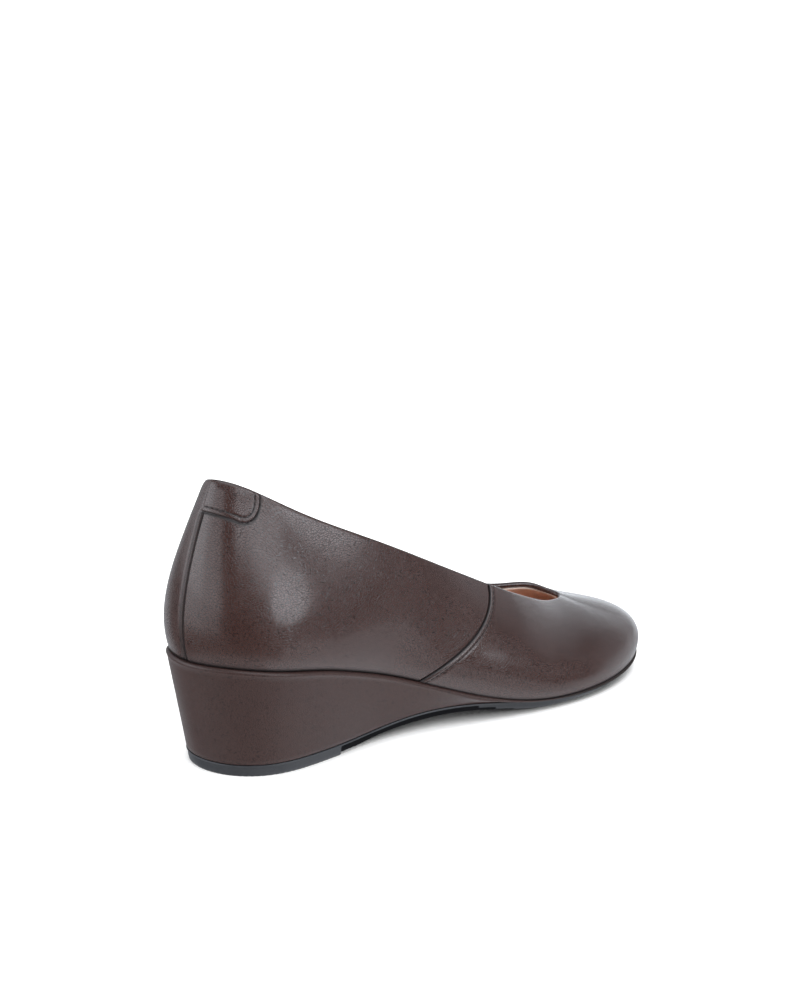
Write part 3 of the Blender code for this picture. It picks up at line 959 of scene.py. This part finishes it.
lining_places = np.linspace(AROUND, 0, LINING_COLUMNS)
_, rise, _ = directions(lining_places, np.ones_like(lining_places))
lining_top = 1 - LINING_BELOW_RIM / np.linalg.norm(rise, axis=-1)
edge_shares = 1 - RAW_EDGE * np.array(RAW_ROWS) / LINING_HEIGHT
lining_shares = np.concatenate([np.linspace(*LINING_SPAN, LINING_ROWS), edge_shares])
lining_rows = [off_last(lining_places, share * lining_top, LINING_FACE) for share in lining_shares]
lining, row, column = lay_sheet("lining", np.array(lining_rows))
paint_points(lining, "raw_edge", (row > LINING_ROWS).astype(float))
merge_doubles()
give_thickness(lining, LINING_WALL)
settle(lining, lining_leather, "sock_leather", "upper")

# %% [markdown]
# The sole pieces are rings on the last: a list of offsets and heights gives the profile of their
# edge, and the rows run from the middle of the underside, out round the edge and back to the middle
# of the top. Right and left columns share the points of the middle line, so the piece is closed.


# %% Rings for the sole
FINE_STEPS = 200


def even_places(step, extra=()):
    """Places round the shoe, evenly spaced in millimetres, the same on both sides."""
    fine = np.linspace(0, TOE, FINE_STEPS * TOE + 1)
    ring = Last(fine)
    line = ring.level(-ring.inset, 0)
    length = np.concatenate([[0], np.cumsum(np.linalg.norm(np.diff(line, axis=0), axis=1))])
    half = np.interp(np.linspace(0, length[-1], round(length[-1] / step) + 1), length, fine)
    half = np.unique(np.concatenate([half, extra]))
    return np.concatenate([half, AROUND - half[-2::-1]])


def middle_line(ring):
    """The points half way between the right side and the left."""
    return (ring + ring[::-1]) / 2


def toward_middle(ring, share):
    """A ring drawn in by a share of the way to the middle line."""
    return ring + share * (middle_line(ring) - ring)


print("columns of the wedge at 1 mm:", len(even_places(1.0)))

# %% [markdown]
# The wedge is covered with the same leather in a satin finish. Its top edge is a rounded lip that
# stands a little outside the upper, with a groove behind it that is darkened by painted shade, and
# its side leans inward toward the floor. Round the forefoot it thins to a narrow rand, which is
# painted darker toward the toe.

# %% Wedge cover
WEDGE_STEP, WEDGE_ROWS = 0.8, 22
LIP, LIP_HEIGHT, LIP_SHARE, SEAT = 0.8, 2.4, 0.6, 0.3
LIP_TURNS = np.radians(np.linspace(-45, 150, 14))
GROOVE, GROOVE_SHARE, GROOVE_SHADE_ROWS = 1.5, 0.45, 4
GROOVE_TURN, GROOVE_BACK = 2.2, 0.9
RAND_DARK, RAND_PLACES = 0.7, (7.6, 9.0)
# The rounded lower edge as millimetres outward and up, and where the side starts above it.
FOOT_ROUND, FOOT_RISE = ((-2.2, 0.0), (-0.7, 0.0), (-0.25, 0.08), (-0.04, 0.32)), 0.45
THIRDS = (0.33, 0.66, 1)

wedge_places = even_places(WEDGE_STEP)
ring = Last(wedge_places)
top_z = ring.base[:, 2] - SEAT
tall = top_z - ring.cover_z
radius = np.minimum(LIP_HEIGHT, LIP_SHARE * tall) / 2


def lip_row(angle):
    """Offset and height of the rounded lip at an angle round it."""
    return LIP - radius + radius * math.cos(angle), top_z - radius + radius * math.sin(angle)


wedge_rows = [ring.level(outward - ring.inset, ring.cover_z + up) for outward, up in FOOT_ROUND]
wedge_rows = [toward_middle(wedge_rows[0], share) for share in THIRDS[::-1]] + wedge_rows
foot_z = np.maximum(ring.cover_z + FOOT_RISE, 0)
shoulder, shoulder_z = lip_row(LIP_TURNS[0])
for share in np.linspace(0, 1, WEDGE_ROWS + 1)[1:-1]:
    offset = share * shoulder - (1 - share) * ring.inset
    wedge_rows.append(ring.level(offset, (1 - share) * foot_z + share * shoulder_z))
wedge_rows += [ring.level(*lip_row(angle)) for angle in LIP_TURNS]
lip_end = len(wedge_rows) - 1
groove_z = top_z - np.minimum(GROOVE, GROOVE_SHARE * tall)
inner = ring.level(LIP - GROOVE_TURN * radius - GROOVE_BACK, groove_z)
wedge_rows += [inner] + [toward_middle(inner, share) for share in THIRDS]
wedge_cover, row, column = lay_sheet("wedge_cover", np.array(wedge_rows))
# Painted shade in the groove behind the lip; the rand is painted darker toward the toe.
shade = np.clip((row - lip_end) / GROOVE_SHADE_ROWS + 1, 0, 1)
wedge_from_heel = np.minimum(wedge_places, AROUND - wedge_places)
rand_shade = RAND_DARK * smooth_step(wedge_from_heel, *RAND_PLACES)
paint_points(wedge_cover, "seam", np.maximum(shade, rand_shade[column]))
merge_doubles()
settle(wedge_cover, wedge_leather, "wedge_leather", "wedge")

# %% [markdown]
# The outsole is moulded black rubber. A thin flange runs round it under the wedge. The heel pad is
# flush with that flange, its front face drops straight up to a waist that is set back, and the tread
# under the ball and toe is set back a little. The set-back side of the waist and the sole under the
# toe spring get a near-black matte finish, a painted shadow for the shade in these recesses. Fine
# ribs run across the pad and the tread: every second pair of columns is lifted by the depth of a
# groove.


# %% Rubber finish
def rubber_finish(name, black, dusty, roughness, specular=0.5):
    """Moulded rubber with a dusty bloom and a fine speckled face."""
    material, tree, shader, place = new_finish(name, roughness, specular)
    speck = noise_at(tree, place, SPECK_SCALE, 3, 0.6)
    cloud = noise_at(tree, place, BLOOM_SCALE, 3, 0.6)
    colour = mix_colours(tree, rescale(tree, cloud, (0.35, 0.7)), black, dusty)
    connect(tree, colour, shader.inputs["Base Color"])
    gloss = rescale(tree, cloud, (0.3, 0.7), (roughness - 0.07, roughness + 0.08))
    connect(tree, gloss, shader.inputs["Roughness"])
    connect(tree, add_bump(tree, speck, SPECK_DEPTH, 0.8), shader.inputs["Normal"])
    return material


SPECK_SCALE, SPECK_DEPTH, BLOOM_SCALE = 1500, 0.03, 60
EDGE_BLACK, EDGE_DUSTY = (0.024, 0.025, 0.029), (0.036, 0.037, 0.042)
# The waist finish is painted shadow: a near-black matte rubber for recesses that lie in shade.
WAIST_SHADOW_BLACK, WAIST_SHADOW_DUSTY = (0.004, 0.004, 0.005), (0.008, 0.008, 0.009)
outsole_rubber = rubber_finish("outsole_rubber_finish", EDGE_BLACK, EDGE_DUSTY, 0.45)
waist_shadow_rubber = rubber_finish("waist_shadow_rubber_finish", WAIST_SHADOW_BLACK, WAIST_SHADOW_DUSTY, 0.8, 0.08)
print("rubber finishes:", outsole_rubber.name, waist_shadow_rubber.name)

# %% Outsole
FLANGE, FLANGE_DROP, SOLE_SEAM = 0.6, 0.3, 0.12
TREAD_DRAFT, DRAFT_SHARE, TREAD_DROP = 0.5, 0.6, 0.14
HEEL_BREAST, BREAST_STEP, PAD_RECESS = 3.8, 0.02, 0.4
RIB_STEP, RIB_DEPTH, RIB_MARGIN, NEAR_GROUND = 0.6, 0.3, 3, 0.3
WAIST_END, WAIST_TAPER, TOE_SPRING, SET_BACK_ROWS = 6.5, 0.3, 10.6, 6
UNDERSIDE_SHARES = (0.05, 0.12, 0.25, 0.4, 0.55, 0.7, 0.85, 1)
# Round edges in millimetres: inward and up from the top face, then from the flange's lower face.
TOP_ROUND = ((1.5, -0.25), (0.4, 0), (0.1, -0.08), (0, -0.35))
FLANGE_ROUND, FLANGE_LAP = ((0, 0.3), (0.1, 0.08)), (0.35, 0.02)
# The tread's round edge: inward, up, share of a rib's depth and least drop below the flange.
TREAD_ROUND = ((0, 0.35, 0.3, 0.1), (0.15, 0.1, 0.6, 0.12), (0.45, 0, 0.8, TREAD_DROP))

sole_places = even_places(RIB_STEP, (HEEL_BREAST, HEEL_BREAST + BREAST_STEP))
ring = Last(sole_places)
from_heel = np.minimum(sole_places, AROUND - sole_places)
in_pad = from_heel <= HEEL_BREAST
recess = np.where(in_pad, PAD_RECESS, ring.recess)
tread_z = np.where(in_pad, 0, np.maximum(ring.tread_z, 0))
edge, top_z = -ring.inset, ring.cover_z - SOLE_SEAM
flange_z = ring.cover_z - FLANGE_DROP - FLANGE
count = len(sole_places)
order = np.minimum(np.arange(count), count - 1 - np.arange(count))
ribbed = (tread_z < NEAR_GROUND) & (order > RIB_MARGIN) & (order < count // 2 - RIB_MARGIN)
rib = np.where((order % 4 >= 2) & ribbed, RIB_DEPTH, 0)

profile = [ring.level(edge - inward, top_z + up) for inward, up in TOP_ROUND]
profile += [ring.level(edge - inward, flange_z + up) for inward, up in FLANGE_ROUND]
profile.append(ring.level(edge - np.minimum(FLANGE_LAP[0], recess), flange_z))
profile.append(ring.level(edge - recess, flange_z - FLANGE_LAP[1]))
draft_z = (1 - DRAFT_SHARE) * flange_z + DRAFT_SHARE * tread_z
profile.append(ring.level(edge - recess - DRAFT_SHARE * TREAD_DRAFT, draft_z))
for inward, up, share, drop in TREAD_ROUND:
    round_z = np.minimum(tread_z + up + share * rib, flange_z - drop)
    profile.append(ring.level(edge - recess - TREAD_DRAFT - inward, round_z))
under = profile[-1].copy()
under[:, 2] = np.minimum(tread_z + rib, flange_z - TREAD_DROP)
sole_rows = [toward_middle(profile[0], share) for share in (1, 0.5)] + profile
sole_rows += [toward_middle(under, share) for share in UNDERSIDE_SHARES]
outsole, row, column = lay_sheet("outsole_rubber", np.array(sole_rows[::-1]))
outsole.data.materials.append(outsole_rubber)
outsole.data.materials.append(waist_shadow_rubber)
# Painted shadow: set-back faces of the waist and under the toe spring take the near-black finish.
set_back = range(len(UNDERSIDE_SHARES), len(UNDERSIDE_SHARES) + SET_BACK_ROWS)
for face in outsole.data.polygons:
    corners = list(face.vertices)
    low = min(row[corners])
    at = from_heel[column[corners]]
    in_waist = at.min() >= HEEL_BREAST and at.max() < WAIST_END + WAIST_TAPER * (set_back[-1] - low)
    if low in set_back and (in_waist or at.min() > TOE_SPRING):
        face.material_index = 1
merge_doubles()
bpy.ops.object.shade_smooth_by_angle(angle=math.radians(40))
settle(outsole, outsole_rubber, "outsole_rubber", "outsole")

# %% [markdown]
# The sock lining is a thin padded sheet on the insole. It is closed below, its edge is rounded and
# rises slightly where it meets the lining, so that no gap shows inside the shoe.

# %% Sock lining
SOCK_EDGE, SOCK_STEP = 2.3, 1.4
# The profile of its edge: millimetres inward and up.
SOCK_PROFILE = ((0.4, 0.3), (0.0, 0.7), (0.0, 1.6), (0.25, 2.1), (0.9, 2.25), (2.2, 2.05), (5.0, 1.85))
SOCK_SHARES = (0.2, 0.4, 0.6, 0.8, 1)

ring = Last(even_places(SOCK_STEP))
sock_rows = [ring.level(-SOCK_EDGE - inward, ring.base[:, 2] + up) for inward, up in SOCK_PROFILE]
sock_rows = [toward_middle(sock_rows[0], share) for share in (1, 0.5)] + sock_rows
sock_rows += [toward_middle(sock_rows[-1], share) for share in SOCK_SHARES]
sock, row, column = lay_sheet("sock_lining", np.array(sock_rows))
paint_points(sock, "raw_edge", np.zeros(len(row)))
merge_doubles()
settle(sock, sock_leather, "sock_leather", "sock")

# %% [markdown]
# Stitches are what makes the seams read as sewn. One stitch is a small rounded grain of thread, half
# sunk in its channel. An Array modifier repeats it at the machine's pitch and a Curve modifier
# bends the row along its seam, as one would do by hand.


# %% Thread finish
def thread_finish(name, colour, lighter):
    """Twisted thread with light and dark fibres."""
    material, tree, shader, place = new_finish(name, 0.6, 0.3)
    fibre = noise_at(tree, place, FIBRE_SCALE)
    connect(tree, mix_colours(tree, fibre, colour, lighter), shader.inputs["Base Color"])
    connect(tree, add_bump(tree, fibre, FIBRE_DEPTH, 0.8), shader.inputs["Normal"])
    return material


FIBRE_SCALE, FIBRE_DEPTH = 5000, 0.05
thread = thread_finish("thread_finish", (0.010, 0.006, 0.006), (0.022, 0.014, 0.012))
print("thread finish:", thread.name)

# %% One stitch, repeated along each seam
STITCH_PITCH, STITCH_LENGTH, STITCH_WIDTH, STITCH_LIFT = 2.1, 1.9, 0.45, 0.02
SIDE_ENDS, BACK_ENDS = (0.015, 0.975, 120), (0.02, TAB_FOOT, 100)
TAB_SUNK, TAB_STITCH_TOP, TAB_STITCH_START = 0.2, 0.985, TAB_START + 0.05


def stitch_row(name, places, heights, face):
    """A row of stitches along places and heights on the leather, on a face that far out."""
    points = (off_last(places, heights, face) + SHIFT) * MM
    guide = bpy.data.objects.new(name + "_guide", bpy.data.curves.new(name + "_guide", "CURVE"))
    bpy.context.scene.collection.objects.link(guide)
    guide.data.dimensions = "3D"
    line = guide.data.splines.new("POLY")
    line.points.add(len(points) - 1)
    line.points.foreach_set("co", np.column_stack([points, np.ones(len(points))]).ravel())
    length = np.linalg.norm(np.diff(points, axis=0), axis=1).sum() / MM
    count = int(length / STITCH_PITCH)
    bpy.ops.object.select_all(action="DESELECT")
    bpy.ops.mesh.primitive_uv_sphere_add(segments=8, ring_count=6, radius=0.5)
    stitch = bpy.context.object
    stitch.name = stitch.data.name = name
    stitch.scale = (STITCH_LENGTH * MM, STITCH_WIDTH * MM, STITCH_WIDTH * MM)
    stitch.location = (STITCH_PITCH / 2 * MM, 0, 0)
    bpy.ops.object.transform_apply(location=True, rotation=True, scale=True)
    bpy.ops.object.modifier_add(type="ARRAY")
    copies = stitch.modifiers[-1]
    copies.count = count
    copies.use_relative_offset = False
    copies.use_constant_offset = True
    copies.constant_offset_displace = (STITCH_PITCH * MM, 0, 0)
    bpy.ops.object.modifier_add(type="CURVE")
    stitch.modifiers[-1].object = guide
    for modifier in list(stitch.modifiers):
        bpy.ops.object.modifier_apply(modifier=modifier.name)
    bpy.ops.object.shade_smooth()
    bpy.data.objects.remove(guide, do_unlink=True)
    print(name, "stitches:", count)
    return stitch


def beside(places, heights, distance):
    """A path moved sideways along the leather by millimetres, to the left of its direction."""
    along, up, out = directions(places, heights)
    points = on_last(places, heights)
    path = np.gradient(points, axis=0)
    path = path / np.linalg.norm(path, axis=1)[:, None]
    want = distance * np.cross(out, path)
    moved = []
    for forward, upward, step in zip(along, up, want):
        moved.append(np.linalg.lstsq(np.column_stack([forward, upward]), step, rcond=None)[0])
    moved = np.array(moved)
    return places + moved[:, 0], heights + moved[:, 1]


rows_of_stitches = []
for name, (seam, side) in zip(("right_seam_stitches", "left_seam_stitches"), SIDE_SEAMS):
    up = np.linspace(*SIDE_ENDS)
    places, heights = beside(np.full_like(up, seam), up, -side * VAMP_STITCH)
    rows_of_stitches.append(stitch_row(name, places, heights, vamp_face(places, heights) + STITCH_LIFT))
up = np.linspace(*BACK_ENDS)
places, heights = beside(np.zeros_like(up), up, -BACK_STITCH)
face = quarter_face(places, heights) + STITCH_LIFT
rows_of_stitches.append(stitch_row("back_seam_stitches", places, heights, face))
places, heights = beside(*tab_path(), TAB_STITCH)
keep = (heights < TAB_STITCH_TOP) & (places > TAB_STITCH_START)
places, heights = places[keep], heights[keep]
rows_of_stitches.append(stitch_row("heel_tab_stitches", places, heights, TAB_FACE - TAB_SUNK))
for stitches in rows_of_stitches:
    settle(stitches, thread, "upper_leather")

# %% [markdown]
# Last, the scene is brought up to date.

# %% Finish
bpy.context.view_layer.update()
